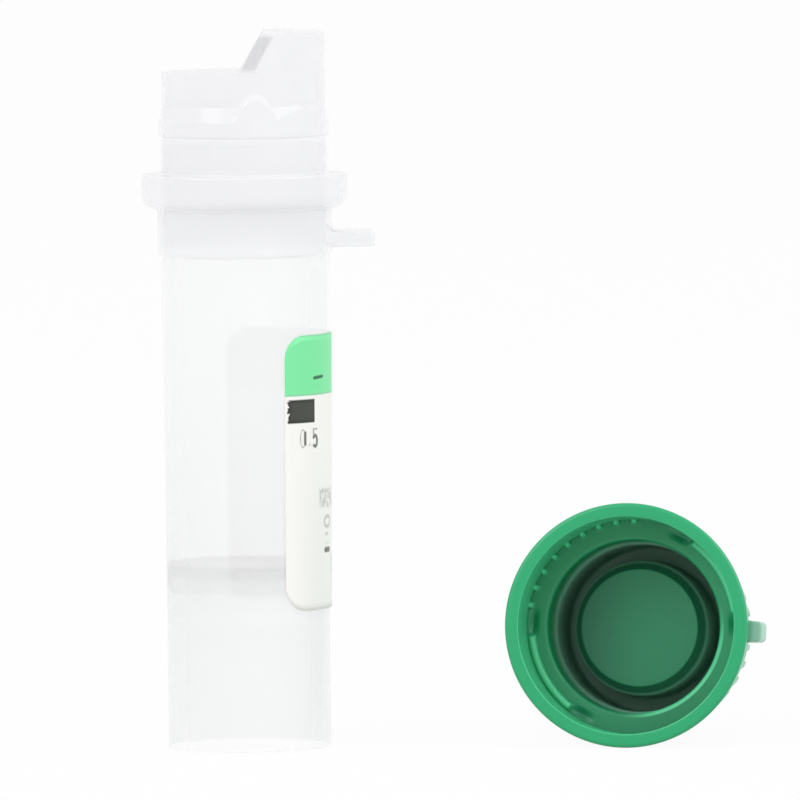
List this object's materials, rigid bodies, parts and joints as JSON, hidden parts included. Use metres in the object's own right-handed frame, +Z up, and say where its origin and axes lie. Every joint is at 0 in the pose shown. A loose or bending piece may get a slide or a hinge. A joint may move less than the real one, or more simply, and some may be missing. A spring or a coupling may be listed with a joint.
{
  "type": "blood collection tube",
  "caption": "Slim self-standing round tube with an open skirt, collar, finger tab, slanted pouring lip and wrap label, beside its ribbed plug cap lying on its side.",
  "frame": {"origin": "centre of the tube's foot, on the surface it stands on", "axes": "+Z up along the tube, out of its mouth; +X towards the side of the pouring lip, the finger tab and the cap that lies beside the tube"},
  "size_m": [0.0394, 0.0175, 0.0455],
  "materials": {
    "clear_plastic": "milky translucent polypropylene, smooth",
    "green_plastic": "smooth moulded green polyethylene",
    "label_film": "satin white label film with a green head band"
  },
  "bodies": {
    "root": {"tube": "clear_plastic", "cap": "green_plastic", "label": "label_film"}
  },
  "joints": []
}
